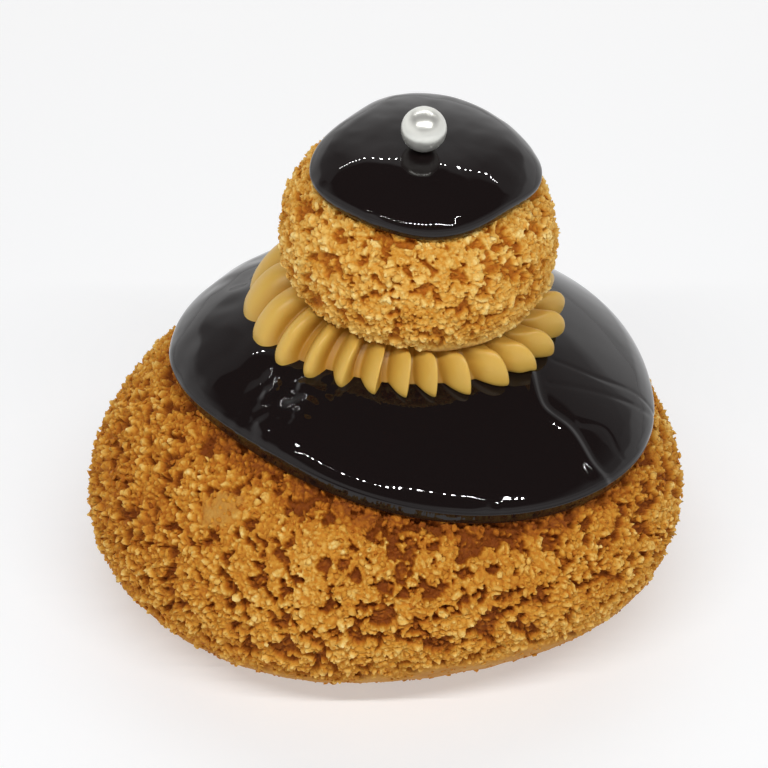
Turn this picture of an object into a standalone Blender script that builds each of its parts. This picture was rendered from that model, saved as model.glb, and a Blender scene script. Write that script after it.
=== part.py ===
"""Religieuse: a large and a small choux puff, stacked, each baked under a crumbly craquelin
crust. A disc of dark chocolate glaze is draped over each puff, a piped ruff of cream joins
them, and a silver sugar pearl sits on top.

Units are metres and Z is up. The origin is under the middle of the base puff, on its foot.
"""

import math
from collections import namedtuple

import bmesh
import bpy
from mathutils import Euler, Matrix, Vector, noise
from mathutils.bvhtree import BVHTree

# ---------------------------------------------------------------- driving dimensions

GAP = 0.00035  # air kept between two pieces that touch

# A puff is widest at its belly, with a crown above it and a tuck below it that the foot cuts
# off flat. Both are superellipses: square says how boxy, and 2 is a plain ellipse. Each leans
# along X, the more so the further it is from the belly. The crown is higher at -X by the slope.
# The tilt turns the whole puff. The crust's lumps are crumb apart and pit deep.
Half = namedtuple("Half", "height square lean")
Puff = namedtuple("Puff", "middle radius belly crown tuck foot lobes slope tilt crumb pit")

# A lobe is (waves round the puff, share of the radius, degrees of its first bulge).
BASE = Puff(
    middle=Vector((0.0, 0.0, 0.0)),
    radius=0.0366,
    belly=0.0133,
    crown=Half(0.0241, 1.715, 0.0020),
    tuck=Half(0.0170, 2.4, -0.0032),
    foot=0.0,
    lobes=((2, 0.0226, 5), (3, 0.012, 85), (4, 0.0113, 52), (5, 0.010, -30)),
    slope=0.134,
    tilt=Euler((0, 0, 0)),
    crumb=0.0055,
    pit=0.0007,
)
HEAD = Puff(
    middle=Vector((0.0037, 0.0, 0.0)),
    radius=0.0171,
    belly=0.0473,
    crown=Half(0.0126, 2.35, 0.0),
    tuck=Half(0.0105, 2.4, 0.0),
    foot=0.0406,
    lobes=((2, 0.006, 90), (3, 0.008, 200)),
    slope=0.0,
    tilt=Euler((math.radians(3), math.radians(6), 0)),
    crumb=0.0042,
    pit=0.0005,
)

# A glaze disc is a cap of its puff, round an axis that leans to +X.
Glaze = namedtuple("Glaze", "reach lean thickness lobes")
BASE_GLAZE = Glaze(
    reach=math.radians(54.5),
    lean=math.radians(6.5),
    thickness=0.0017,
    lobes=((3, 0.032, 285), (2, 0.01, 170), (1, 0.018, 100)),
)
HEAD_GLAZE = Glaze(
    reach=math.radians(46.6),
    lean=math.radians(0.6),
    thickness=0.0014,
    lobes=((2, 0.108, 68), (3, 0.043, 90), (4, 0.023, 18), (1, 0.016, 146)),
)
GLAZE_ROUNDING = 0.0005  # on the rim's edges

# The ruff runs from a lip under the head's foot out and down to its own foot on the glaze.
# Each stage is (radius, share of the way down), along a ridge and along a valley.
RUFF_MIDDLE = Vector((0.0010, 0.0011))
RUFF_RIDGES = 25
RUFF_SAMPLES = 6  # faces across a ridge
# Where ridges meet the glaze, in degrees round it. The others, at the back, are evenly spread
# from the last of these on to the first.
RUFF_CRESTS = (-215, -198, -177, -156, -139, -125, -111, -98, -86, -75, -62, -47, -34, -21, -6)
RUFF_CREST = (
    (0.0138, 0.0),
    (0.0158, 0.06),
    (0.0174, 0.26),
    (0.0184, 0.52),
    (0.0189, 0.78),
    (0.0185, 1.0),
)
RUFF_VALLEY = (
    (0.0128, 0.04),
    (0.0140, 0.24),
    (0.0151, 0.46),
    (0.0160, 0.70),
    (0.0166, 0.88),
    (0.0167, 1.0),
)
RUFF_SHARPNESS = 0.8  # below 1 a ridge is wider than the valley beside it
RUFF_TWIST = math.radians(11)  # how far a ridge winds anticlockwise on its way down

PEARL_RADIUS = 0.00265
PEARL_SHARE = 0.14  # how far it sits from the middle of the head's glaze, as a share of the reach
PEARL_AZIMUTH = math.radians(-120)

# ---------------------------------------------------------------- shared helpers


def wavy(lobes, azimuth):
    """1, made uneven by the lobes."""
    return 1 + sum(
        share * math.cos(waves * (azimuth - math.radians(first)))
        for waves, share, first in lobes
    )


def tilted(puff, offset):
    """A place in the part, from its offset from the middle of the puff's belly."""
    return puff.middle + Vector((0, 0, puff.belly)) + puff.tilt.to_matrix() @ offset


def envelope(puff, direction):
    """The puff's smooth surface in a unit direction, which gives an azimuth and a rise."""
    azimuth = math.atan2(direction.y, direction.x)
    rise = math.asin(max(-1.0, min(1.0, direction.z)))
    half = puff.crown if rise > 0 else puff.tuck
    share = math.cos(rise) ** (2 / half.square)
    height = half.height * abs(math.sin(rise)) ** (2 / half.square)
    if rise > 0:
        height *= 1 - puff.slope * math.cos(azimuth) * share
    radius = puff.radius * wavy(puff.lobes, azimuth) * share
    x = radius * math.cos(azimuth) + half.lean * abs(math.sin(rise))
    y = radius * math.sin(azimuth)
    return tilted(puff, Vector((x, y, math.copysign(height, rise))))


def outward(puff, direction):
    """The envelope's outward normal there, from two places just beside it."""
    side = direction.orthogonal().normalized()
    step = 0.01
    here = envelope(puff, direction)
    one = envelope(puff, (direction + side * step).normalized()) - here
    other = envelope(puff, (direction + direction.cross(side) * step).normalized()) - here
    normal = one.cross(other).normalized()
    return normal if normal.dot(direction) > 0 else -normal


def new_object(name, bm, material):
    """An object of the finished mesh, in the pastry's collection."""
    bmesh.ops.recalc_face_normals(bm, faces=bm.faces[:])
    mesh = bpy.data.meshes.new(name)
    bm.to_mesh(mesh)
    bm.free()
    mesh.materials.append(material)
    mesh.shade_smooth()
    mesh.set_sharp_from_angle(angle=math.radians(60))
    made = bpy.data.objects.new(name, mesh)
    collection.objects.link(made)
    return made


def new_material(name, colour, roughness, metallic=0.0):
    """A plain Principled finish."""
    material = bpy.data.materials.new(name)
    material.use_nodes = True
    shader = material.node_tree.nodes["Principled BSDF"]
    shader.inputs["Base Color"].default_value = (*colour, 1.0)
    shader.inputs["Roughness"].default_value = roughness
    shader.inputs["Metallic"].default_value = metallic
    return material


# ---------------------------------------------------------------- pieces


def puff_object(name, puff, segments, rings, material):
    """A ball pushed out to the puff's envelope, pitted by its crumbs and cut flat at its foot."""
    bm = bmesh.new()
    bmesh.ops.create_uvsphere(bm, u_segments=segments, v_segments=rings, radius=1.0)
    for vertex in bm.verts:
        direction = vertex.co.normalized()
        place = envelope(puff, direction)
        depth = puff.pit * (0.5 - 0.5 * noise.noise(place / puff.crumb))
        vertex.co = place - outward(puff, direction) * depth
    cut = bmesh.ops.bisect_plane(
        bm,
        geom=bm.verts[:] + bm.edges[:] + bm.faces[:],
        plane_co=tilted(puff, Vector((0, 0, puff.foot - puff.belly))),
        plane_no=puff.tilt.to_matrix() @ Vector((0, 0, 1)),
        clear_inner=True,
    )
    rim = [item for item in cut["geom_cut"] if isinstance(item, bmesh.types.BMEdge)]
    bmesh.ops.contextual_create(bm, geom=rim)
    return new_object(name, bm, material)


def glaze_direction(glaze, share, azimuth):
    """A unit direction inside the disc, at a share of its reach from its middle."""
    angle = share * glaze.reach * wavy(glaze.lobes, azimuth)
    around = Vector((math.cos(azimuth), math.sin(azimuth), 0))
    upright = around * math.sin(angle) + Vector((0, 0, math.cos(angle)))
    return Matrix.Rotation(glaze.lean, 3, "Y") @ upright


def glaze_object(name, puff, glaze, segments, rings, material):
    """A round sheet draped over the puff, then thickened upwards, with a rounded rim."""
    bm = bmesh.new()
    spoke = [bm.verts.new((ring / rings, 0, 0)) for ring in range(rings + 1)]
    edges = [bm.edges.new(pair) for pair in zip(spoke, spoke[1:])]
    bmesh.ops.spin(
        bm,
        geom=spoke + edges,
        cent=(0, 0, 0),
        axis=(0, 0, 1),
        angle=math.tau,
        steps=segments,
        use_merge=True,
    )
    bmesh.ops.remove_doubles(bm, verts=bm.verts[:], dist=1e-5)
    for vertex in bm.verts:
        azimuth = math.atan2(vertex.co.y, vertex.co.x)
        direction = glaze_direction(glaze, vertex.co.length, azimuth)
        vertex.co = envelope(puff, direction) + outward(puff, direction) * GAP
    made = new_object(name, bm, material)
    if sum(face.normal.z for face in made.data.polygons) < 0:
        made.data.flip_normals()
    solidify = made.modifiers.new("thickness", "SOLIDIFY")
    solidify.thickness = glaze.thickness
    solidify.offset = 1.0
    bevel = made.modifiers.new("rim", "BEVEL")
    bevel.width = GLAZE_ROUNDING
    bevel.segments = 2
    bevel.limit_method = "ANGLE"
    bevel.angle_limit = math.radians(50)
    return made


def ruff_object(name, glaze_made, material):
    """A rosette of cream from a star nozzle, with sharp twisted ridges and a seat for the head."""
    sheet = BVHTree.FromObject(glaze_made, bpy.context.evaluated_depsgraph_get())
    seat_normal = HEAD.tilt.to_matrix() @ Vector((0, 0, 1))
    seat_middle = tilted(HEAD, Vector((0, 0, HEAD.foot - HEAD.belly)))
    others = RUFF_RIDGES - len(RUFF_CRESTS) + 1
    pitch = (RUFF_CRESTS[0] + 360 - RUFF_CRESTS[-1]) / others
    at_back = [RUFF_CRESTS[-1] + pitch * k for k in range(1, others + 1)]
    crests = [math.radians(degrees) for degrees in (*RUFF_CRESTS, *at_back)]

    def on_glaze(flat):
        above = Vector((flat.x, flat.y, HEAD.belly))
        return sheet.ray_cast(above, Vector((0, 0, -1)))[0].z + GAP

    def under_head(flat):
        across = Vector((flat.x, flat.y, seat_middle.z)) - seat_middle
        return seat_middle.z - across.dot(seat_normal) / seat_normal.z - GAP

    def flank(stage, turn):
        """A place on the ridged side, at a stage from the lip at 0 down to the foot, and at a
        turn that counts ridges."""
        unwound = RUFF_TWIST * (1 - stage / (len(RUFF_CREST) - 1))
        before = int(turn)
        azimuth = crests[before] + (turn - before) * (crests[before + 1] - crests[before]) - unwound
        ridge = (0.5 + 0.5 * math.cos(math.tau * turn)) ** RUFF_SHARPNESS
        radius, down = Vector(RUFF_VALLEY[stage]).lerp(Vector(RUFF_CREST[stage]), ridge)
        around = Vector((math.cos(azimuth), math.sin(azimuth)))
        flat = HEAD.middle.xy.lerp(RUFF_MIDDLE, down) + around * radius
        top, bottom = under_head(flat), on_glaze(flat)
        return Vector((flat.x, flat.y, top + (bottom - top) * down))

    bm = bmesh.new()
    steps = RUFF_RIDGES * RUFF_SAMPLES
    turns = [k / RUFF_SAMPLES for k in range(steps)]
    stages = [[flank(stage, turn) for turn in turns] for stage in range(len(RUFF_CREST))]
    hub = Vector((*RUFF_MIDDLE, 0))
    hub.z = on_glaze(hub)
    below = [[hub.lerp(place, share) for place in stages[-1]] for share in (0.67, 0.33)]
    for ring in below:
        for place in ring:
            place.z = on_glaze(place)
    rings = [[bm.verts.new(place) for place in ring] for ring in stages + below]
    for upper, lower in zip(rings, rings[1:]):
        for k in range(steps):
            bm.faces.new((upper[k], lower[k], lower[k - 1], upper[k - 1]))
    seat = Vector((*HEAD.middle.xy, under_head(HEAD.middle.xy)))
    for ring, middle in ((rings[0], seat), (rings[-1], hub)):
        point = bm.verts.new(middle)
        for k in range(steps):
            bm.faces.new((point, ring[k], ring[k - 1]))
    return new_object(name, bm, material)


def pearl_object(name, material):
    """A silver sugar pearl resting on the head's glaze."""
    bm = bmesh.new()
    bmesh.ops.create_uvsphere(bm, u_segments=16, v_segments=10, radius=PEARL_RADIUS)
    made = new_object(name, bm, material)
    direction = glaze_direction(HEAD_GLAZE, PEARL_SHARE, PEARL_AZIMUTH)
    lift = 2 * GAP + HEAD_GLAZE.thickness + PEARL_RADIUS
    made.location = envelope(HEAD, direction) + outward(HEAD, direction) * lift
    return made


# ---------------------------------------------------------------- build

for thing in list(bpy.data.objects):
    bpy.data.objects.remove(thing)
collection = bpy.data.collections.new("religieuse")
bpy.context.scene.collection.children.link(collection)

crust_finish = new_material("craquelin_crust", (0.48, 0.25, 0.06), 0.8)
glaze_finish = new_material("dark_glaze", (0.012, 0.008, 0.008), 0.15)
cream_finish = new_material("coffee_cream", (0.60, 0.34, 0.09), 0.5)
silver_finish = new_material("silver", (0.80, 0.80, 0.76), 0.15, metallic=1.0)

puff_object("base_puff", BASE, 60, 26, crust_finish)
puff_object("head_puff", HEAD, 40, 20, crust_finish)
base_glaze = glaze_object("base_glaze", BASE, BASE_GLAZE, 44, 8, glaze_finish)
glaze_object("head_glaze", HEAD, HEAD_GLAZE, 30, 5, glaze_finish)
ruff_object("cream_ruff", base_glaze, cream_finish)
pearl_object("silver_pearl", silver_finish)
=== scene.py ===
import math
from collections import namedtuple

import bpy
import numpy as np
from mathutils import Euler, Matrix, Vector
from mathutils.bvhtree import BVHTree
from mathutils.kdtree import KDTree


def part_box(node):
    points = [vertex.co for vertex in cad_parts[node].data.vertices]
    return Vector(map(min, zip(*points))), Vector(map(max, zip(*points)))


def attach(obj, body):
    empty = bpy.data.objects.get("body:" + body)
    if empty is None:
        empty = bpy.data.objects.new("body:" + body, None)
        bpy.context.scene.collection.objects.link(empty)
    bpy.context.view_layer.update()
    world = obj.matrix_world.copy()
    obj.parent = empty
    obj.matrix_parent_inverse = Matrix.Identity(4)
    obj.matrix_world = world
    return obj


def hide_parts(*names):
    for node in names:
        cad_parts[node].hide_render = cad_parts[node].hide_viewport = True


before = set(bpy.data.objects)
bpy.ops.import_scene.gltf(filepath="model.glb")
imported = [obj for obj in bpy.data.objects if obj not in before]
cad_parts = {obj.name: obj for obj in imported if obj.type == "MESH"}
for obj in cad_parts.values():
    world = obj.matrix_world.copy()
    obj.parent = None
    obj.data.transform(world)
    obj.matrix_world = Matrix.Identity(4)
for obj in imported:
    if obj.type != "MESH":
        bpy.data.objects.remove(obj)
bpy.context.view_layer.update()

# ---------------------------------------------------------------- the board and the light tent
# The pastry stands on a plain white light table in a small tent. The tent has a white back and
# sides, a dark ceiling between two strips of small lamps, and an open front for the camera.

CAMERA_AIM = Vector((-0.0004, 0.0, 0.0253))
CAMERA_DISTANCE = 0.420
CAMERA_RISE = math.radians(36)
VIEW_WIDTH = 0.094  # at the aim
BOARD_SIZE = 6.0
BOARD_COLOUR = (0.63, 0.635, 0.64)
BOARD_GLOW = (0.385, 0.395, 0.405)  # it is a light table, so that shadows on it stay pale
BOARD_GLOW_BEHIND = (0.46, 0.46, 0.46)
BOARD_GLOW_RISE = (0.0, 0.14)  # the stretch of Y along which it turns into that
# Where the tent's parts begin and end, as slopes of the directions to them, or as their rise.
TENT_BACK = (0.60, 0.66)  # Y over Z
TENT_SIDES = (1.3, 2.2)  # X over Z
TENT_CORNERS = (0.65, 0.25)  # X over Y, from the back's dim corners to its bright middle
TENT_RING = (0.34, 0.20)  # Z, where a ring of light lies low all round
TENT_FADE = (0.2, 0.8)  # Z, between which the walls get darker
TENT_LEFT_TO_RIGHT = (-0.3, 0.3)  # X
# How bright they are, as shares of the back's middle.
CORNER_LIGHT = 0.37
SIDE_LIGHT = (0.90, 0.42)  # on the left, and on the right
RING_LIGHT = 0.78
TOP_LIGHT = 0.6
CEILING_COLOUR = (0.09, 0.085, 0.085)
STRIP_HEIGHT = 0.34
STRIP_LAMPS = 30
STRIP_PITCH = 0.0165
STRIP_SHIFT = 0.02
STRIP_TURN = 0.35  # towards the pastry
STRIPS = ((-0.205, 0.038), (0.205, 0.010))  # each strip's place along Y, and its lamps' watts
LAMP_SIZE = 0.0045


def set_inputs(node, **values):
    """Sets a node's inputs by name, with _ for a space."""
    for name, value in values.items():
        node.inputs[name.replace("_", " ")].default_value = value
    return node


def new_material(name):
    """A material with its node tree and its Principled shader."""
    material = bpy.data.materials.new(name)
    material.use_nodes = True
    tree = material.node_tree
    return material, tree, tree.nodes["Principled BSDF"]


def new_node(tree, kind, links=(), **values):
    """A node, with sockets linked into its inputs and values set on them."""
    node = tree.nodes.new(kind)
    for name, socket in dict(links).items():
        tree.links.new(socket, node.inputs[name])
    return set_inputs(node, **values)


def ranged(tree, value, span, reach=(0.0, 1.0)):
    """A socket that goes from one end of the reach to the other as the value crosses the span."""
    limits = dict(From_Min=span[0], From_Max=span[1], To_Min=reach[0], To_Max=reach[1])
    return new_node(tree, "ShaderNodeMapRange", {"Value": value}, **limits).outputs["Result"]


def colour_ramp(tree, factor, stops):
    """A ramp node on a factor socket, with (place, colour) stops."""
    ramp_node = tree.nodes.new("ShaderNodeValToRGB")
    elements = ramp_node.color_ramp.elements
    while len(elements) < len(stops):
        elements.new(0.5)
    for element, (place, colour) in zip(elements, stops):
        element.position = place
        element.color = (*colour, 1.0)
    tree.links.new(factor, ramp_node.inputs["Fac"])
    return ramp_node.outputs["Color"]


def maths(tree, operation, *values, clamp=False):
    """A Math node whose inputs are numbers or sockets."""
    node = tree.nodes.new("ShaderNodeMath")
    node.operation = operation
    node.use_clamp = clamp
    for socket, value in zip(node.inputs, values):
        if isinstance(value, (int, float)):
            socket.default_value = value
        else:
            tree.links.new(value, socket)
    return node.outputs[0]


bpy.ops.object.select_all(action="DESELECT")
bpy.ops.mesh.primitive_plane_add(size=BOARD_SIZE)
board = bpy.context.object
board.name = "board"
board_finish, tree, shader = new_material("white_board")
set_inputs(shader, Base_Color=(*BOARD_COLOUR, 1), Roughness=0.6, Emission_Strength=1.0)
place = tree.nodes.new("ShaderNodeTexCoord")
split = new_node(tree, "ShaderNodeSeparateXYZ", {"Vector": place.outputs["Object"]})
behind = ranged(tree, split.outputs["Y"], BOARD_GLOW_RISE)
glow = colour_ramp(tree, behind, ((0.0, BOARD_GLOW), (1.0, BOARD_GLOW_BEHIND)))
tree.links.new(glow, shader.inputs["Emission Color"])
board.data.materials.append(board_finish)

world = bpy.data.worlds.new("light_tent")
bpy.context.scene.world = world
world.use_nodes = True
tree = world.node_tree
place = tree.nodes.new("ShaderNodeTexCoord")
split = new_node(tree, "ShaderNodeSeparateXYZ", {"Vector": place.outputs["Generated"]})
up = maths(tree, "MAXIMUM", split.outputs["Z"], 0.02)
back = maths(tree, "DIVIDE", split.outputs["Y"], up)
side = maths(tree, "DIVIDE", maths(tree, "ABSOLUTE", split.outputs["X"]), up)
across = maths(tree, "ABSOLUTE", maths(tree, "DIVIDE", split.outputs["X"], split.outputs["Y"]))
corners = ranged(tree, across, TENT_CORNERS, (CORNER_LIGHT, 1.0))
uneven = ranged(tree, split.outputs["X"], TENT_LEFT_TO_RIGHT, SIDE_LIGHT)
back_wall = maths(tree, "MULTIPLY", ranged(tree, back, TENT_BACK), corners)
side_wall = maths(tree, "MULTIPLY", ranged(tree, side, TENT_SIDES), uneven)
ring = maths(tree, "MULTIPLY", ranged(tree, up, TENT_RING), RING_LIGHT)
lit = maths(tree, "MAXIMUM", maths(tree, "MAXIMUM", back_wall, side_wall), ring)
lit = maths(tree, "MULTIPLY", lit, ranged(tree, up, TENT_FADE, (1.0, TOP_LIGHT)))
light = colour_ramp(tree, lit, ((0.0, CEILING_COLOUR), (1.0, (1.0, 1.0, 1.0))))
tree.links.new(light, tree.nodes["Background"].inputs["Color"])
set_inputs(tree.nodes["Background"], Strength=1.0)

for strip, (y, watts) in enumerate(STRIPS):
    for k in range(STRIP_LAMPS):
        lamp = bpy.data.lights.new(f"strip_{strip}_lamp_{k}", "AREA")
        lamp.shape = "DISK"
        lamp.size = LAMP_SIZE
        lamp.energy = watts
        held = bpy.data.objects.new(lamp.name, lamp)
        x = (k - (STRIP_LAMPS - 1) / 2) * STRIP_PITCH + STRIP_SHIFT
        held.location = (x, y, STRIP_HEIGHT)
        held.rotation_euler = (-math.copysign(STRIP_TURN, y), 0, 0)
        bpy.context.scene.collection.objects.link(held)

camera_data = bpy.data.cameras.new("camera")
camera_data.lens = camera_data.sensor_width * CAMERA_DISTANCE / VIEW_WIDTH
camera_data.clip_start = 0.01
camera = bpy.data.objects.new("camera", camera_data)
camera.location = CAMERA_AIM + CAMERA_DISTANCE * Vector(
    (0, -math.cos(CAMERA_RISE), math.sin(CAMERA_RISE))
)
camera.rotation_euler = (math.pi / 2 - CAMERA_RISE, 0, 0)
bpy.context.scene.collection.objects.link(camera)
bpy.context.scene.camera = camera
bpy.context.scene.view_settings.view_transform = "Standard"

# ---------------------------------------------------------------- base puff
# A large choux puff, baked until golden brown. Its dough is a thin dry shell, split into
# crevices where it swelled in the oven. It is widest low down, and flat underneath.

Half = namedtuple("Half", "height square lean")
Puff = namedtuple("Puff", "middle radius belly crown tuck foot lobes slope tilt")
Glaze = namedtuple("Glaze", "reach lean lobes")

BASE = Puff(
    middle=Vector((0.0, 0.0, 0.0)),
    radius=0.0366,
    belly=0.0133,
    crown=Half(0.0241, 1.715, 0.0020),
    tuck=Half(0.0170, 2.4, -0.0032),
    foot=0.0,
    lobes=((2, 0.0226, 5), (3, 0.012, 85), (4, 0.0113, 52), (5, 0.010, -30)),
    slope=0.134,
    tilt=Euler((0, 0, 0)),
)
BASE_GLAZE = Glaze(
    reach=math.radians(54.5),
    lean=math.radians(6.5),
    lobes=((3, 0.032, 285), (2, 0.01, 170), (1, 0.018, 100)),
)
# A crust's plates are parted by crevices, and its lumps by creases, each so deep. Open is the
# share of crevices, from -1 to 1. Cracks, rounds and bare are functions that say where it is
# cracked, where its lumps are round and where it is smooth dough. The function after them says
# where it is darker: baked darker, and on the base also painted shade under the glaze's rim.
# Rim and foot are the rises between which it shows, and hidden is the rings beyond each of them.
Crust = namedtuple(
    "Crust",
    "plate crevice open lump crease cracks rounds bare browned segments rings hidden rim foot",
)


def wavy(lobes, azimuth):
    """1, made uneven by the lobes."""
    return 1 + sum(
        share * np.cos(waves * (azimuth - math.radians(first)))
        for waves, share, first in lobes
    )


def unit(rows):
    """Rows of vectors, each at length 1."""
    return rows / np.maximum(np.linalg.norm(rows, axis=-1, keepdims=True), 1e-12)


def directions(azimuth, rise):
    """Unit directions from azimuths and rises."""
    level = np.cos(rise)
    return np.stack((np.cos(azimuth) * level, np.sin(azimuth) * level, np.sin(rise)), axis=-1)


def envelope(puff, way):
    """The puff's smooth surface in unit directions, which give an azimuth and a rise."""
    azimuth = np.arctan2(way[:, 1], way[:, 0])
    rise = np.arcsin(np.clip(way[:, 2], -1, 1))
    crown = rise > 0
    power = 2 / np.where(crown, puff.crown.square, puff.tuck.square)
    share = np.cos(rise) ** power
    height = np.where(crown, puff.crown.height, puff.tuck.height) * np.abs(np.sin(rise)) ** power
    height *= np.where(crown, 1 - puff.slope * np.cos(azimuth) * share, -1)
    radius = puff.radius * wavy(puff.lobes, azimuth) * share
    lean = np.where(crown, puff.crown.lean, puff.tuck.lean)
    x = radius * np.cos(azimuth) + lean * np.abs(np.sin(rise))
    offset = np.stack((x, radius * np.sin(azimuth), height), axis=-1)
    middle = puff.middle + Vector((0, 0, puff.belly))
    return offset @ np.array(puff.tilt.to_matrix()).T + np.array(middle)


def outward(puff, way):
    """The envelope's outward normals there, from two places just beside each."""
    side = unit(np.cross(way, (0.31, 0.52, 0.79)))
    here = envelope(puff, way)
    one = envelope(puff, unit(way + side * 0.01)) - here
    two = envelope(puff, unit(way + np.cross(way, side) * 0.01)) - here
    normal = unit(np.cross(one, two))
    return normal * np.sign((normal * way).sum(axis=-1, keepdims=True))


def glaze_way(glaze, share, azimuth):
    """Unit directions inside the glaze disc, at shares of its reach from its middle."""
    angle = share * glaze.reach * wavy(glaze.lobes, azimuth)
    upright = directions(azimuth, math.pi / 2 - angle)
    return upright @ np.array(Matrix.Rotation(glaze.lean, 3, "Y")).T


def under_glaze(puff, glaze, way):
    """How far in under the glaze's rim directions lie, in metres, and below 0 outside it."""
    upright = way @ np.array(Matrix.Rotation(glaze.lean, 3, "Y"))
    azimuth = np.arctan2(upright[:, 1], upright[:, 0])
    angle = np.arccos(np.clip(upright[:, 2], -1, 1))
    return (glaze.reach * wavy(glaze.lobes, azimuth) - angle) * puff.radius


def smooth(value, start, end):
    """0 before start and 1 after end, with a smooth step between."""
    share = np.clip((value - start) / (end - start), 0, 1)
    return share * share * (3 - 2 * share)


def hashed(cells, seed):
    """Numbers from 0 to 1 that look random, one for each cell of whole coordinates."""
    number = (cells * (374761393, 668265263, 2147483647)).sum(axis=-1) + seed * 1274126177
    number &= 0xFFFFFFFF
    number = ((number ^ (number >> 13)) * 1274126177) & 0xFFFFFFFF
    return (number ^ (number >> 16)) / 2**32


NOISE_TURN = np.array(Euler((0.6, 0.4, 0.9)).to_matrix())  # keeps its grid off the pastry's axes


def noise_at(places, size, seed):
    """Smooth noise from -1 to 1, with lumps of about that size."""
    spot = places @ NOISE_TURN / size
    cell = np.floor(spot).astype(np.int64)
    part = spot - cell
    ease = part**3 * (part * (6 * part - 15) + 10)
    total = 0
    for corner in np.ndindex(2, 2, 2):
        weight = np.where(corner, ease, 1 - ease).prod(axis=-1)
        total = total + weight * hashed(cell + corner, seed)
    return 2 * total - 1


def cells_at(places, size, seed):
    """How far places are from their cell's edge, in cells, and the cell's own number, -1 to 1."""
    spot = places @ NOISE_TURN / size
    cell = np.floor(spot).astype(np.int64)
    first, second = np.full((2, len(places)), 9.0)
    own = np.zeros(len(places))
    for step in np.ndindex(3, 3, 3):
        here = cell + step - 1
        middle = here + np.stack([hashed(here, seed + 100 * k) for k in (1, 2, 3)], axis=-1)
        away = np.linalg.norm(middle - spot, axis=-1)
        own = np.where(away < first, hashed(here, seed), own)
        second = np.minimum(np.maximum(away, first), second)
        first = np.minimum(away, first)
    return second - first, 2 * own - 1


def new_piece(name, count, *faces):
    """An object whose mesh has that many vertices, and faces from arrays of equal sides each."""
    mesh = bpy.data.meshes.new(name)
    mesh.vertices.add(count)
    corners = np.concatenate([rows.ravel() for rows in faces])
    sides = np.concatenate([np.full(len(rows), rows.shape[1]) for rows in faces])
    mesh.loops.add(len(corners))
    mesh.loops.foreach_set("vertex_index", corners.astype(np.int32))
    mesh.polygons.add(len(sides))
    mesh.polygons.foreach_set("loop_start", (np.cumsum(sides) - sides).astype(np.int32))
    made = bpy.data.objects.new(name, mesh)
    bpy.context.scene.collection.objects.link(made)
    return made


def ball(name, segments, rings):
    """A ball of quads between two poles, with each vertex's azimuth and its share of the way
    down from pole to pole. Its vertices are still to be put in their places."""
    turn = np.arange(segments) * math.tau / segments
    share, azimuth = np.meshgrid(np.arange(1, rings) / rings, turn, indexing="ij")
    body = 1 + np.arange(share.size).reshape(share.shape)
    beside = np.roll(body, -1, axis=1)
    top, bottom = np.zeros_like(body[0]), np.full_like(body[0], share.size + 1)
    made = new_piece(
        name,
        share.size + 2,
        np.stack((body[:-1], body[1:], beside[1:], beside[:-1]), axis=-1).reshape(-1, 4),
        np.stack((top, body[0], beside[0]), axis=-1),
        np.stack((bottom, beside[-1], body[-1]), axis=-1),
    )
    return made, np.pad(azimuth.ravel(), 1), np.concatenate(((0,), share.ravel(), (1,)))


def put(made, places, **values):
    """Moves the mesh's vertices to their places, and stores named values on them."""
    made.data.vertices.foreach_set("co", places.astype(np.float32).ravel())
    for name, value in values.items():
        attribute = made.data.attributes.new(name, "FLOAT", "POINT")
        attribute.data.foreach_set("value", value.astype(np.float32))
    made.data.update(calc_edges=True)
    made.data.shade_smooth()
    return made


def dress(made, material, slot, *nodes):
    """Gives a finished piece its material and its body, and hides the CAD nodes it stands for. Its
    slot is not used.
    """
    made.data.materials.append(material)
    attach(made, "root")
    if nodes:
        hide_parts(*nodes)
    return made


BROAD_BEND = (0.0012, 0.00036)  # the size of the waves that bend the cells' edges, and how far
FINE_BEND = (0.0005, 0.00008)
PLATE_LEVELS = ((1.0, 1.0, 7), (0.48, 0.60, 8), (0.25, 0.22, 9))  # size, strength and seed
DOUGH_DEPTH = 0.00035  # of the plates, below the envelope
NUB_SIZE = 0.52  # a lump is made of nubs, so large for a lump of 1
NUB_CREASE = 0.42  # and their creases are so deep for a lump's crease of 1
LUMP_RISE = 0.00022  # at most
NUB_RISE = 0.00010
CRUST_DEPTH = 0.0017  # below the envelope, where the crust is at its darkest


def crust_relief(crust, way, place):
    """How deep the crust lies below the envelope, and how much of a plate there is. Crevices part
    it into plates, creases part a plate into lumps, and finer ones part a lump into nubs."""
    broad = np.stack([noise_at(place, BROAD_BEND[0], seed) for seed in (1, 2, 3)], axis=-1)
    fine = np.stack([noise_at(place, FINE_BEND[0], seed) for seed in (4, 5, 6)], axis=-1)
    bent = place + BROAD_BEND[1] * broad + FINE_BEND[1] * fine
    field = -0.9 * crust.cracks(way, bent)
    for size, strength, seed in PLATE_LEVELS:
        field += strength * noise_at(bent, crust.plate * size, seed)
    rounds, bare = crust.rounds(way), crust.bare(way, place)
    start = crust.open - 0.06 * rounds - 1.5 * bare
    plate = smooth(field, start - 0.08, start + 0.16)
    edge, own = cells_at(bent, crust.lump, 10)
    dome = smooth(edge, 0.0, 0.40 + 0.15 * rounds)
    nub, nub_own = cells_at(bent, crust.lump * NUB_SIZE, 30)
    bud = smooth(nub, 0.0, 0.45)
    rough = 1 - bare
    depth = (
        DOUGH_DEPTH
        + crust.crevice * (1 - plate)
        + crust.crease * (0.55 + 0.45 * rounds) * (1 - dome) * rough
        + NUB_CREASE * crust.crease * (1 - bud) * rough
        - (LUMP_RISE * own * dome + NUB_RISE * nub_own * bud) * rough
        + 0.00004 * noise_at(place, 0.0004, 11)
        + 0.00012 * bare * noise_at(place, 0.0022, 12)
    )
    return depth, plate * rough


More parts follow.
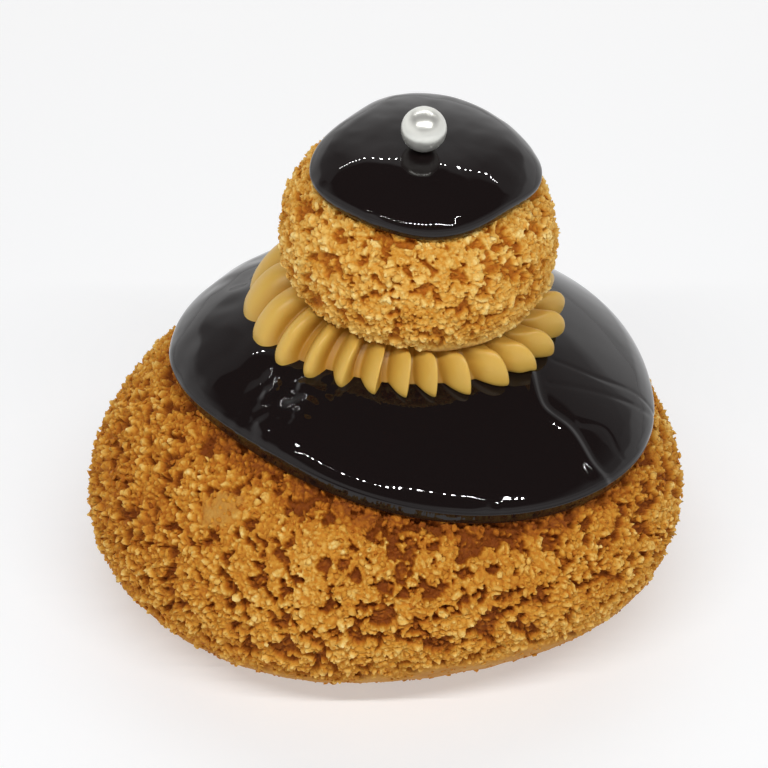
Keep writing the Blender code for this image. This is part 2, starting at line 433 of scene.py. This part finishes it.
def puff_core(name, puff, crust):
    """The puff's body: a ball with most of its rings in the part that shows."""
    made, azimuth, share = ball(name, crust.segments, crust.rings)
    knots = (0, crust.hidden / crust.rings, 1 - crust.hidden / crust.rings, 1)
    rise = np.interp(share, knots, (math.pi / 2, crust.rim, crust.foot, -math.pi / 2))
    way = directions(azimuth, rise)
    surface = envelope(puff, way)
    depth = crust_relief(crust, way, surface)[0]
    place = surface - outward(puff, way) * depth[:, None]
    foot = np.array(puff.middle) + (0, 0, puff.foot)
    up = np.array(puff.tilt.to_matrix() @ Vector((0, 0, 1)))
    below = np.minimum((place - foot) @ up, 0)
    place -= below[:, None] * up
    # The toast is how deep and how browned the crust is, with painted shade under the base glaze's
    # rim added in.
    toast = np.clip(depth / CRUST_DEPTH + crust.browned(way, surface), 0, 1)
    return put(made, place, toast=toast, dough=crust.bare(way, surface))


def around(way, degrees, start, end):
    """1 where directions have that azimuth, and 0 far from it: start and end are cosines."""
    facing = way[:, :2] @ (math.cos(math.radians(degrees)), math.sin(math.radians(degrees)))
    return smooth(facing / np.maximum(np.linalg.norm(way[:, :2], axis=-1), 1e-9), start, end)


# Each crack's azimuth in degrees, its height and half its length in degrees.
BASE_CRACKS = ((-80, 0.0124, 4), (-71, 0.0140, 5), (-104, 0.0105, 4), (-92, 0.0165, 3))
BARE_HEIGHT = 0.0042  # of the smooth dough at the bottom edge
BARE_RISE = 0.0026  # how much higher that is on the right in front
BARE_PATCH = (-0.0198, -0.0237, 0.0243)
BARE_PATCH_EDGE = (0.0010, 0.0028)  # how far from its middle the patch begins and stops to fade


def base_cracks(way, place):
    """The base has a few long level cracks low down in front."""
    turn = np.degrees(np.arctan2(way[:, 1], way[:, 0]))
    found = np.zeros(len(way))
    for azimuth, height, half in BASE_CRACKS:
        inside = 1 - smooth(np.abs(turn - azimuth), half - 2, half)
        across = np.abs(place[:, 2] - height - 0.0006 * np.sin((turn - azimuth) / 2.3))
        found = np.maximum(found, inside * (1 - smooth(across, 0.0002, 0.0009)))
    return found


def base_rounds(way):
    """The base's lumps are round on its left and back, and fused into flat plates in front."""
    return around(way, 165, 0.1, 0.8)


def base_bare(way, place):
    """The base is bare at its bottom edge, the higher up the further right, and in one patch."""
    band = BARE_HEIGHT + BARE_RISE * around(way, -50, 0.6, 0.95)
    band += 0.0013 * noise_at(place, 0.004, 13)
    patch = np.linalg.norm((place - BARE_PATCH) * (1, 1, 0.8), axis=-1)
    patch += 0.0012 * noise_at(place, 0.0016, 14)
    patch = 0.7 * (1 - smooth(patch, *BARE_PATCH_EDGE))
    return np.maximum(1 - smooth(place[:, 2], band, band + 0.0012), patch)


def base_browned_and_painted_shade(way, place):
    """The base is darker low down and where its dough is bare, and has painted shade under the
    glaze's rim.
    """
    out = -under_glaze(BASE, BASE_GLAZE, way)
    # Painted shade: the crust is coloured darker just outside the glaze's rim, mostly in front,
    # where the rim's shadow falls.
    shaded = 1 - smooth(out + 0.0012 * noise_at(place, 0.003, 16), 0.0004, 0.0044)
    shaded *= 0.3 + 0.7 * around(way, -85, 0.2, 0.9)
    low = 1 - smooth(place[:, 2], 0.0035, 0.0100)
    dough = base_bare(way, place)
    return 0.46 * shaded + 0.10 * low + 0.22 * dough + 0.07 * noise_at(place, 0.006, 17)


BASE_CRUST = Crust(
    plate=0.0015,
    crevice=0.00090,
    open=-0.32,
    lump=0.00112,
    crease=0.00062,
    cracks=base_cracks,
    rounds=base_rounds,
    bare=base_bare,
    browned=base_browned_and_painted_shade,
    segments=1320,
    rings=300,
    hidden=10,
    rim=math.radians(45),
    foot=math.radians(-48.5),
)

crust_finish, tree, shader = new_material("craquelin")
# The toast read here says how deep and how browned the crust is, and holds painted shade under the
# base glaze's rim.
toast = tree.nodes.new("ShaderNodeAttribute")
toast.attribute_name = "toast"
place = tree.nodes.new("ShaderNodeTexCoord")
grain = new_node(
    tree, "ShaderNodeTexNoise", {"Vector": place.outputs["Object"]}, Scale=2200.0, Detail=3.0
)
patch = new_node(
    tree, "ShaderNodeTexNoise", {"Vector": place.outputs["Object"]}, Scale=220.0, Detail=2.0
)
mottle = maths(tree, "MULTIPLY", maths(tree, "SUBTRACT", grain.outputs["Fac"], 0.5), 0.45)
tint = maths(tree, "MULTIPLY", maths(tree, "SUBTRACT", patch.outputs["Fac"], 0.5), 0.30)
level = maths(tree, "ADD", maths(tree, "ADD", toast.outputs["Fac"], mottle), tint, clamp=True)
colour = colour_ramp(
    tree,
    level,
    (
        (0.0, (0.94, 0.70, 0.27)),
        (0.18, (0.82, 0.505, 0.120)),
        (0.42, (0.65, 0.290, 0.028)),
        (0.70, (0.46, 0.140, 0.006)),
        (1.0, (0.24, 0.055, 0.002)),
    ),
)
dough = tree.nodes.new("ShaderNodeAttribute")
dough.attribute_name = "dough"
mix = tree.nodes.new("ShaderNodeMix")
mix.data_type = "RGBA"
tree.links.new(maths(tree, "MULTIPLY", dough.outputs["Fac"], 0.8), mix.inputs["Factor"])
tree.links.new(colour, mix.inputs["A"])
bare_colour = colour_ramp(
    tree, patch.outputs["Fac"], ((0.35, (0.40, 0.17, 0.026)), (0.62, (0.50, 0.27, 0.066)))
)
tree.links.new(bare_colour, mix.inputs["B"])
tree.links.new(mix.outputs["Result"], shader.inputs["Base Color"])
set_inputs(shader, Roughness=0.75, Specular_IOR_Level=0.25)
bump = new_node(
    tree, "ShaderNodeBump", {"Height": grain.outputs["Fac"]}, Strength=0.8, Distance=0.00018
)
tree.links.new(bump.outputs["Normal"], shader.inputs["Normal"])

base_core = puff_core("base_crust", BASE, BASE_CRUST)
dress(base_core, crust_finish, "crust", "base_puff")

# ---------------------------------------------------------------- crumbs of the base
# A disc of sugar, butter and flour dough was laid on the puff before baking. It broke up into
# hard lumps, crumbs and grains as the puff swelled, baked on and half sunk in its dough.

CRUMB_SHAPES = 12  # of each kind
CRUMB_SIDES = (0.75, 1.55)  # how far a crumb is stretched sideways
# Most is the number of crumbs at most, low and high are their least and most half width, and
# flat is their height as a share of that. Cuts is how fine the meshes are, apart is the least
# space between two crumbs as a share of their width, and rough is how lumpy they are.
Crumbs = namedtuple("Crumbs", "most low high cuts flat apart rough")
CRUMBS = Crumbs(3000, 0.00020, 0.00040, 1, 0.60, 0.60, 0.45)
GRAINS = Crumbs(3600, 0.00010, 0.00018, 1, 0.70, 0.60, 0.40)
CRUMB_GRID = (360, 120)  # patches round and up the puff's side, for its area
CRUMB_TRIES = 6  # for each crumb that there may be
CRUMB_TOP = 0.00030  # the most that a crumb stands above the envelope


def scattered(puff, crust, crumbs, random, wanted):
    """Directions spread over the puff's side, no nearer to each other than crumbs may be."""
    columns, rows = CRUMB_GRID
    step = (math.tau / columns, (crust.rim - crust.foot) / rows)
    azimuth, rise = np.meshgrid(
        np.arange(columns) * step[0],
        crust.foot + (np.arange(rows) + 0.5) * step[1],
        indexing="ij",
    )
    azimuth, rise = azimuth.ravel(), rise.ravel()
    here = envelope(puff, directions(azimuth, rise))
    east = envelope(puff, directions(azimuth + 0.004, rise)) - here
    north = envelope(puff, directions(azimuth, rise + 0.004)) - here
    area = np.linalg.norm(np.cross(east, north), axis=-1)
    chosen = random.choice(len(area), size=crumbs.most * CRUMB_TRIES, p=area / area.sum())
    azimuth = azimuth[chosen] + random.uniform(-0.5, 0.5, len(chosen)) * step[0]
    rise = rise[chosen] + random.uniform(-0.5, 0.5, len(chosen)) * step[1]
    way = directions(azimuth, rise)
    place = envelope(puff, way)
    free = wanted(way, place) > random.uniform(0, 1, len(chosen))
    tree = KDTree(len(chosen))
    for k, point in enumerate(place):
        tree.insert(point, k)
    tree.balance()
    kept = []
    apart = crumbs.apart * (crumbs.low + crumbs.high)
    for k in range(len(chosen)):
        if free[k] and len(kept) < crumbs.most:
            kept.append(k)
            for _, other, _ in tree.find_range(place[k], apart):
                free[other] = False
    return way[kept]


def crumb_shapes(crumbs):
    """Rough little lumps of radius 1: their places, shape by shape, and their faces."""
    bpy.ops.object.select_all(action="DESELECT")
    bpy.ops.mesh.primitive_ico_sphere_add(subdivisions=crumbs.cuts, radius=1)
    model = bpy.context.object
    places = np.array([vertex.co for vertex in model.data.vertices])
    faces = np.array([face.vertices[:] for face in model.data.polygons])
    bpy.data.objects.remove(model)
    shapes = []
    for k in range(CRUMB_SHAPES):
        swell = 1.2 * noise_at(places, 0.9, 50 + k) + 0.9 * noise_at(places, 0.4, 80 + k)
        shapes.append(places * (1 + crumbs.rough * swell[:, None]))
    return np.array(shapes), faces


def crumb_piece(name, puff, crust, crumbs, seed, wanted):
    """One mesh of all the crumbs of a kind, each turned, sized and set in the puff's relief."""
    random = np.random.default_rng(seed)
    shapes, faces = crumb_shapes(crumbs)
    way = scattered(puff, crust, crumbs, random, wanted)
    surface, normal = envelope(puff, way), outward(puff, way)
    foot = surface - normal * crust_relief(crust, way, surface)[0][:, None]
    count = len(way)
    size = random.uniform(crumbs.low, crumbs.high, count)
    lean = unit(normal + 0.35 * random.normal(size=(count, 3)))
    side = unit(np.cross(lean, unit(random.normal(size=(count, 3)))))
    stretch = random.uniform(*CRUMB_SIDES, (count, 2)) * size[:, None]
    shape = shapes[random.integers(0, CRUMB_SHAPES, count)]
    local = (
        shape[:, :, :1] * (side * stretch[:, :1])[:, None]
        + shape[:, :, 1:2] * (np.cross(lean, side) * stretch[:, 1:])[:, None]
        + shape[:, :, 2:] * (lean * size[:, None] * crumbs.flat)[:, None]
    )
    middle = foot + lean * (size * random.uniform(-0.35, 0.20, count))[:, None]
    over = ((middle - surface) * normal).sum(axis=-1) + size * crumbs.flat - CRUMB_TOP
    middle -= normal * np.maximum(over, 0)[:, None]
    places = middle[:, None] + local
    height = ((places - surface[:, None]) * normal[:, None]).sum(axis=-1)
    # Each crumb's tone takes in the same painted shade under the base glaze's rim.
    tone = random.normal(0.10, 0.08, count) + crust.browned(way, surface)
    toast = np.clip(-height / CRUST_DEPTH + tone[:, None], 0, 1)
    whole = faces[None] + (np.arange(count) * shapes.shape[1])[:, None, None]
    made = new_piece(name, count * shapes.shape[1], whole.reshape(-1, 3))
    put(made, places.reshape(-1, 3), toast=toast.ravel())
    return dress(made, crust_finish, "crust")


def on_base(way, place):
    """Where the base's crumbs lie: on the plates outside the glaze, less at the bottom edge."""
    plate = crust_relief(BASE_CRUST, way, place)[1]
    shown = smooth(-under_glaze(BASE, BASE_GLAZE, way), -0.0025, -0.0015)
    return shown * (0.10 + 0.90 * plate) * smooth(place[:, 2], 0.0003, 0.0025)


def over_base(way, place):
    """Where the base's grains lie: everywhere outside the glaze."""
    shown = smooth(-under_glaze(BASE, BASE_GLAZE, way), -0.0020, -0.0010)
    return shown * smooth(place[:, 2], 0.0002, 0.0015)


crumb_piece("base_crumbs", BASE, BASE_CRUST, CRUMBS, 1, on_base)
crumb_piece("base_grains", BASE, BASE_CRUST, GRAINS, 2, over_base)

# ---------------------------------------------------------------- base glaze
# A round sheet of dark chocolate glaze, poured shiny and draped over the puff. Its cut edge
# hangs straight down, it lies in one fold, and the crust under it cockles its left side.

# Across the sheet from its middle to its rim, round the rim and back underneath: the distance
# in from the rim, and the height above the envelope. The numbers in front count mesh rings.
GLAZE_SECTION = (
    (0, 0.0300, 0.00205),
    (116, 0.0044, 0.00205),
    (121, 0.0034, 0.00205),
    (125, 0.0028, 0.00200),
    (128, 0.0023, 0.00190),
    (131, 0.00195, 0.00176),
    (133, 0.00172, 0.00164),
    (135, 0.00155, 0.00158),
    (136, 0.00142, 0.00156),
    (137, 0.00132, 0.00151),
    (138, 0.00124, 0.00142),
    (141, 0.00070, 0.00085),
    (144, 0.00020, 0.00032),
    (145, 0.00008, 0.00016),
    (146, 0.00004, 0.00000),
    (147, 0.00012, -0.00010),
    (148, 0.00040, -0.00015),
    (151, 0.00400, 0.00010),
    (155, 0.03000, 0.00010),
)
GLAZE_SEGMENTS = 720


def glaze_sheet(name, puff, glaze, section, segments, lumps):
    """A closed sheet whose section is spun round the puff's crown, with lumps in its skin."""
    rings, inset, lift = np.array(section).T
    made, azimuth, share = ball(name, segments, int(rings[-1]))
    ring = share * rings[-1]
    front = smooth(-np.sin(azimuth), 0.2, 0.8)
    inward, rise = np.interp(ring, rings, inset), np.interp(ring, rings, lift)
    edge = 1 - smooth(inward, 0.0015, 0.0045)
    share = 1 - inward * (1 - edge * (0.75 - 0.35 * front)) / inset[0]
    way = glaze_way(glaze, share, azimuth)
    surface = envelope(puff, way)
    rise *= 1 - edge * 0.30 * (1 - front)
    raised = lumps(surface, share, azimuth)
    rise = rise + raised * smooth(rise, 0.0003, 0.0012)
    return put(made, surface + outward(puff, way) * rise[:, None])


def along(points, share):
    """Places on a smooth curve through points, at shares of the way along it."""
    points = np.array(points)
    spot = np.clip(share, 0, 1) * (len(points) - 1)
    first = np.minimum(spot.astype(int), len(points) - 2)
    t = (spot - first)[..., None]
    one, two = points[first], points[first + 1]
    before = points[np.maximum(first - 1, 0)]
    after = points[np.minimum(first + 2, len(points) - 1)]
    start, end = (two - before) / 2, (after - one) / 2
    return (
        one * (2 * t**3 - 3 * t**2 + 1)
        + start * (t**3 - 2 * t**2 + t)
        + two * (3 * t**2 - 2 * t**3)
        + end * (t**3 - t**2)
    )


def beside_line(places, points):
    """How far places on the board are from a smooth curve through points."""
    nearest = np.full(len(places), 1.0)
    curve = along(points, np.linspace(0, 1, 6 * len(points)))
    for start, end in zip(curve[:-1], curve[1:]):
        run = end - start
        share = np.clip((places - start) @ run / (run @ run), 0, 1)
        away = np.linalg.norm(places - start - share[:, None] * run, axis=-1)
        nearest = np.minimum(nearest, away)
    return nearest


# Swells in the glaze's skin are (x, y, half width, height), and a dimple's height is below 0.
GLAZE_SWELLS = (
    (-0.0100, -0.0196, 0.0042, 0.00066),
    (-0.0194, -0.0158, 0.0011, 0.00024),
    (-0.0176, -0.0172, 0.0008, 0.00016),
    (-0.0149, -0.0206, 0.0010, 0.00022),
    (0.0107, -0.0252, 0.0009, 0.00026),
    (0.0125, -0.0258, 0.0006, 0.00014),
    (0.0073, -0.0279, 0.0008, -0.00018),
    (0.0134, -0.0272, 0.0010, -0.00020),
    (-0.0090, 0.0250, 0.0030, 0.00040),
)
# Its fold and its creases are smooth curves on the board, with a half width and a height.
GLAZE_FOLD = (
    (0.0160, -0.0098),
    (0.0172, -0.0140),
    (0.0205, -0.0158),
    (0.0228, -0.0185),
    (0.0250, -0.0196),
)
FOLD_SIZE = (0.00075, 0.00040)
GLAZE_CREASES = (
    ((0.0190, -0.0064), (0.0242, -0.0060), (0.0285, -0.0048), (0.0315, -0.0050)),
    ((0.0315, -0.0050), (0.0300, -0.0066), (0.0262, -0.0078), (0.0184, -0.0103)),
    (
        (0.0219, -0.0140),
        (0.0248, -0.0133),
        (0.0264, -0.0153),
        (0.0277, -0.0147),
        (0.0316, -0.0085),
    ),
)
CREASE_SIZE = (0.00038, -0.00005)
GLAZE_COCKLED = (-0.0110, -0.0158, 0.0062)  # (x, y, radius) of the patch with the most lumps
# The sizes, heights and seeds of the waves in its skin: all over, in the cockled patch, on its
# left side and near its rim.
SKIN_WAVES = ((0.009, 0.00007, 20), (0.0025, 0.000008, 21))
COCKLES = ((0.0018, 0.00034, 19), (0.0010, 0.00013, 26))
LEFT_WAVES = ((0.0034, 0.00014, 25),)
RIM_WAVES = ((0.0011, 0.000004, 22),)


def waves_at(places, waves):
    """How high waves of several sizes lift places."""
    return sum(height * noise_at(places, size, seed) for size, height, seed in waves)


def swells_at(flat, swells):
    """How high swells and dimples lift places on the board."""
    return sum(
        height * np.exp(-(((flat - (x, y)) / half) ** 2).sum(axis=-1))
        for x, y, half, height in swells
    )


def bead_at(flat, points, size):
    """How high a round bead along a curve lifts places on the board."""
    half, height = size
    return height * np.exp(-((beside_line(flat, points) / half) ** 2))


def base_lumps_at(surface, share, azimuth):
    """The lumps that the crust makes in the base's glaze, the ridge where it lies folded, and its
    creases.
    """
    flat = surface[:, :2]
    x, y, radius = GLAZE_COCKLED
    cockled = 1 - smooth(np.linalg.norm(flat - (x, y), axis=-1), 0.5 * radius, radius)
    left = smooth(-np.cos(azimuth + 0.2), 0.5, 0.9) * smooth(share, 0.62, 0.75)
    lift = waves_at(surface, SKIN_WAVES) + cockled * waves_at(surface, COCKLES)
    lift += left * waves_at(surface, LEFT_WAVES)
    lift += smooth(share, 0.72, 0.84) * waves_at(surface, RIM_WAVES)
    lift += swells_at(flat, GLAZE_SWELLS) + bead_at(flat, GLAZE_FOLD, FOLD_SIZE)
    return lift + sum(bead_at(flat, points, CREASE_SIZE) for points in GLAZE_CREASES)


glaze_finish, tree, shader = new_material("chocolate_glaze")
set_inputs(shader, Base_Color=(0.008, 0.005, 0.005, 1), Roughness=0.02, IOR=1.37)

base_sheet = glaze_sheet(
    "base_glaze_sheet", BASE, BASE_GLAZE, GLAZE_SECTION, GLAZE_SEGMENTS, base_lumps_at
)
dress(base_sheet, glaze_finish, "glaze", "base_glaze")

# ---------------------------------------------------------------- cream ruff
# Coffee cream piped through a large star nozzle into one rosette, whose ridges wind a little on
# their way down. The head was pressed on it, so the ridges bulge round its foot and taper down.

HEAD = Puff(
    middle=Vector((0.0037, 0.0, 0.0)),
    radius=0.0171,
    belly=0.0473,
    crown=Half(0.0126, 2.35, 0.0),
    tuck=Half(0.0105, 2.4, 0.0),
    foot=0.0406,
    lobes=((2, 0.006, 90), (3, 0.008, 200)),
    slope=0.0,
    tilt=Euler((math.radians(3), math.radians(6), 0)),
)
RUFF_MIDDLE = np.array((0.0010, 0.0011))
# Where the ridges' crests meet the glaze, in degrees round it. The rest, behind the head, are
# spread evenly between the last of these and the first.
RUFF_CRESTS = (-215, -198, -177, -156, -139, -125, -111, -98, -86, -75, -62, -47, -34, -21, -6)
RUFF_RIDGES = 25
RUFF_SAMPLES = 28  # mesh columns across a ridge
RUFF_FLANK_RINGS = 26
RUFF_SEAT_RINGS = 3  # over the seat, and as many under the foot
# From the lip under the head to the foot on the glaze: (radius, share of the way down).
RUFF_CREST = (
    (0.0139, 0.0),
    (0.0151, -0.09),
    (0.0163, 0.01),
    (0.0175, 0.23),
    (0.0183, 0.50),
    (0.0187, 0.78),
    (0.0184, 1.0),
)
RUFF_VALLEY = (
    (0.0124, 0.06),
    (0.0137, 0.28),
    (0.0149, 0.50),
    (0.0159, 0.72),
    (0.0166, 0.90),
    (0.0167, 1.0),
)
RUFF_LEANS = (0.38, 0.68)  # how far round a ridge its crest is, on the left and elsewhere
RUFF_TWIST = math.radians(11)
RUFF_LEFT = 3.3  # azimuth, in radians
RUFF_FRONT = -1.66
RUFF_NARROWER = (0.30, 0.45)  # the ridges in front, before and after their crests
# How plump a ridge is before and after its crest, and how much more on the left and in front.
RUFF_PLUMP = ((1.3, 0.7, 0.3), (1.5, 0.7, -0.6))
RUFF_PRESSED = ((-0.45, 0.05), (-1.5, -0.04))  # azimuths, and how much wider it is there
RUFF_SOFTNESS = (0.10, 0.07)  # of a crest, and how much less it is in front
RUFF_SUNK = 0.0002  # in the glaze


def top_of(piece):
    """A function that gives the height of a piece's top above places on the board."""
    tree = BVHTree.FromPolygons(
        [vertex.co for vertex in piece.data.vertices],
        [face.vertices[:] for face in piece.data.polygons],
    )
    down = Vector((0, 0, -1))
    return lambda flat: np.array([tree.ray_cast(Vector((*row, 0.1)), down)[0].z for row in flat])


def cream_rosette(name, sheet):
    """A ball drawn into the ridged rosette, from the middle of its seat to that of its foot."""
    rings = RUFF_FLANK_RINGS + 2 * RUFF_SEAT_RINGS
    made, turn, share = ball(name, RUFF_RIDGES * RUFF_SAMPLES, rings)
    hidden = np.linspace(RUFF_CRESTS[-1], RUFF_CRESTS[0] + 360, RUFF_RIDGES - len(RUFF_CRESTS) + 2)
    crests = np.radians(np.concatenate((RUFF_CRESTS, hidden[1:])))
    ridge = turn * RUFF_RIDGES / math.tau
    azimuth = np.interp(ridge, np.arange(RUFF_RIDGES + 1), crests)
    left = smooth(np.cos(azimuth - RUFF_LEFT), 0.2, 0.8)
    front = smooth(np.cos(azimuth - RUFF_FRONT), 0.5, 0.9)
    ring = share * rings
    stage = np.clip((ring - RUFF_SEAT_RINGS) / RUFF_FLANK_RINGS, 0, 1)
    lean = RUFF_LEANS[1] + (RUFF_LEANS[0] - RUFF_LEANS[1]) * left
    spot = (ridge + lean) % 1
    before = spot < lean
    phase = np.where(before, 1 - spot / lean, (spot - lean) / (1 - lean))
    phase = np.minimum(phase * (1 + front * np.where(before, *RUFF_NARROWER)), 1)
    azimuth -= RUFF_TWIST * (1 - stage)
    soft = RUFF_SOFTNESS[0] - RUFF_SOFTNESS[1] * front
    side = (np.sqrt(phase**2 + soft**2) - soft) / (np.sqrt(1 + soft**2) - soft)
    plump = np.where(before, *(own + one * left + two * front for own, one, two in RUFF_PLUMP))
    crest = (1 - side**plump)[:, None]
    flank = along(RUFF_VALLEY, stage) * (1 - crest) + along(RUFF_CREST, stage) * crest
    inward = np.minimum(ring, rings - ring) / RUFF_SEAT_RINGS
    pressed = sum(out * smooth(np.cos(azimuth - at), 0.6, 0.95) for at, out in RUFF_PRESSED)
    radius = flank[:, 0] * np.clip(inward, 0, 1) * (1 + pressed)
    down = flank[:, 1]
    facing = np.stack((np.cos(azimuth), np.sin(azimuth)), axis=-1)
    middle = np.array(HEAD.middle.xy)
    flat = middle + (RUFF_MIDDLE - middle) * down[:, None] + facing * radius[:, None]
    up = np.array(HEAD.tilt.to_matrix() @ Vector((0, 0, 1)))
    seat = np.array(HEAD.middle) + (0, 0, HEAD.belly) + up * (HEAD.foot - HEAD.belly)
    top = seat[2] - (flat - seat[:2]) @ up[:2] / up[2]
    bottom = top_of(sheet)(flat) - RUFF_SUNK
    height = np.where(ring > rings - RUFF_SEAT_RINGS, bottom, top + (bottom - top) * down)
    # Painted shade: darker in the valleys between the ridges, and on the ridges' right flanks in
    # front, as if lit from the left.
    fold = smooth(side + 0.35 * front * ~before, 0.45, 1.2)
    return put(made, np.column_stack((flat, height)), fold=fold)


cream_finish, tree, shader = new_material("coffee_cream")
# The cream's colour is painted darker by that shade, in its valleys and on its right flanks in
# front.
fold = tree.nodes.new("ShaderNodeAttribute")
fold.attribute_name = "fold"
place = tree.nodes.new("ShaderNodeTexCoord")
cloud = new_node(
    tree, "ShaderNodeTexNoise", {"Vector": place.outputs["Object"]}, Scale=900.0, Detail=3.0
)
colour = colour_ramp(
    tree, fold.outputs["Fac"], ((0.0, (0.68, 0.42, 0.075)), (1.0, (0.46, 0.22, 0.022)))
)
tree.links.new(colour, shader.inputs["Base Color"])
set_inputs(shader, Roughness=0.42, Subsurface_Weight=0.05, Subsurface_Scale=0.001)
bump = new_node(
    tree, "ShaderNodeBump", {"Height": cloud.outputs["Fac"]}, Strength=0.35, Distance=0.00015
)
tree.links.new(bump.outputs["Normal"], shader.inputs["Normal"])

rosette = cream_rosette("cream_rosette", base_sheet)
dress(rosette, cream_finish, "cream", "cream_ruff")

# ---------------------------------------------------------------- head
# The small puff, baked under its own craquelin, paler than the base. Its crust broke up less,
# and its lumps melted together into flat ragged chips. Its dough is bare round its foot.

HEAD_GLAZE = Glaze(
    reach=math.radians(46.6),
    lean=math.radians(0.6),
    lobes=(
        (2, 0.108, 68),
        (3, 0.043, 90),
        (4, 0.023, 18),
        (1, 0.016, 146),
        (2, 0.045, 0),
        (4, 0.045, 0),
    ),
)


def head_cracks(way, place):
    """The head has no long cracks."""
    return np.zeros(len(way))


def head_rounds(way):
    """The head's lumps are fused everywhere."""
    return np.zeros(len(way))


def head_bare(way, place):
    """The head is bare round its foot."""
    band = HEAD.foot - 0.0012 + 0.0009 * noise_at(place, 0.003, 15)
    return 1 - smooth(place[:, 2], band, band + 0.0008)


def head_browned(way, place):
    """The head is paler than the base."""
    return 0.06 * noise_at(place, 0.005, 18) - 0.05


HEAD_CRUST = Crust(
    plate=0.0014,
    crevice=0.00065,
    open=-0.28,
    lump=0.00115,
    crease=0.00045,
    cracks=head_cracks,
    rounds=head_rounds,
    bare=head_bare,
    browned=head_browned,
    segments=680,
    rings=190,
    hidden=8,
    rim=math.radians(52),
    foot=math.radians(-36.5),
)
HEAD_CRUMBS = Crumbs(900, 0.00020, 0.00040, 1, 0.50, 0.60, 0.45)
HEAD_GRAINS = Crumbs(1200, 0.00010, 0.00018, 1, 0.70, 0.60, 0.40)

head_core = puff_core("head_crust", HEAD, HEAD_CRUST)
dress(head_core, crust_finish, "crust", "head_puff")


def on_head(way, place):
    """Where the head's crumbs lie: on its plates outside the glaze, and not round its foot."""
    plate = crust_relief(HEAD_CRUST, way, place)[1]
    shown = smooth(-under_glaze(HEAD, HEAD_GLAZE, way), -0.0020, -0.0010)
    return shown * (0.10 + 0.90 * plate) * smooth(place[:, 2], HEAD.foot, HEAD.foot + 0.0015)


crumb_piece("head_crumbs", HEAD, HEAD_CRUST, HEAD_CRUMBS, 11, on_head)
crumb_piece("head_grains", HEAD, HEAD_CRUST, HEAD_GRAINS, 12, on_head)

# ---------------------------------------------------------------- head glaze
# The same glaze in a smaller, thinner sheet, draped over the head's crown. Its edge was cut by
# hand, so that its outline has soft corners.

HEAD_GLAZE_SECTION = (
    (0, 0.0139, 0.00175),
    (30, 0.0042, 0.00178),
    (36, 0.0030, 0.00172),
    (42, 0.0020, 0.00158),
    (46, 0.0013, 0.00138),
    (50, 0.0008, 0.00112),
    (53, 0.00045, 0.00080),
    (56, 0.0002, 0.00048),
    (58, 0.00005, 0.00020),
    (60, 0.0, 0.00005),
    (61, 0.0001, -0.00010),
    (62, 0.0004, -0.00015),
    (65, 0.0030, 0.00010),
    (68, 0.0139, 0.00010),
)
HEAD_GLAZE_SEGMENTS = 260
HEAD_SKIN_WAVES = ((0.005, 0.00006, 23), (0.0016, 0.00003, 24))
HEAD_SWELLS = (
    (0.0078, -0.0113, 0.0006, 0.00018),
    (0.0092, -0.0104, 0.0005, 0.00012),
    (-0.0016, -0.0118, 0.0005, -0.00014),
    (0.0020, -0.0085, 0.0003, -0.00008),
    (-0.0075, -0.0060, 0.0008, 0.00012),
)


def head_lumps_at(surface, share, azimuth):
    """The lumps that the crust makes in the head's glaze."""
    return waves_at(surface, HEAD_SKIN_WAVES) + swells_at(surface[:, :2], HEAD_SWELLS)


head_sheet = glaze_sheet(
    "head_glaze_sheet", HEAD, HEAD_GLAZE, HEAD_GLAZE_SECTION, HEAD_GLAZE_SEGMENTS, head_lumps_at
)
dress(head_sheet, glaze_finish, "glaze", "head_glaze")

# ---------------------------------------------------------------- pearl
# A sugar pearl in an edible silver coat, set in the head's glaze before it had dried.

PEARL_SUNK = 0.0003
PEARL_DENTS = ((0.7, 0.012, 8), (0.22, 0.004, 9))  # as waves on a ball of radius 1

low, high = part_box("silver_pearl")
pearl, azimuth, share = ball("sugar_pearl", 64, 40)
radius = (high.z - low.z) / 2
place = directions(azimuth, math.pi / 2 - share * math.pi)
dents = 1 + waves_at(place, PEARL_DENTS)
middle = np.array((low + high) / 2) - (0, 0, PEARL_SUNK)
put(pearl, middle + place * dents[:, None] * radius)
silver_finish, tree, shader = new_material("silver_coat")
set_inputs(shader, Base_Color=(0.86, 0.86, 0.80, 1), Metallic=0.75, Roughness=0.30)
dress(pearl, silver_finish, "silver", "silver_pearl")
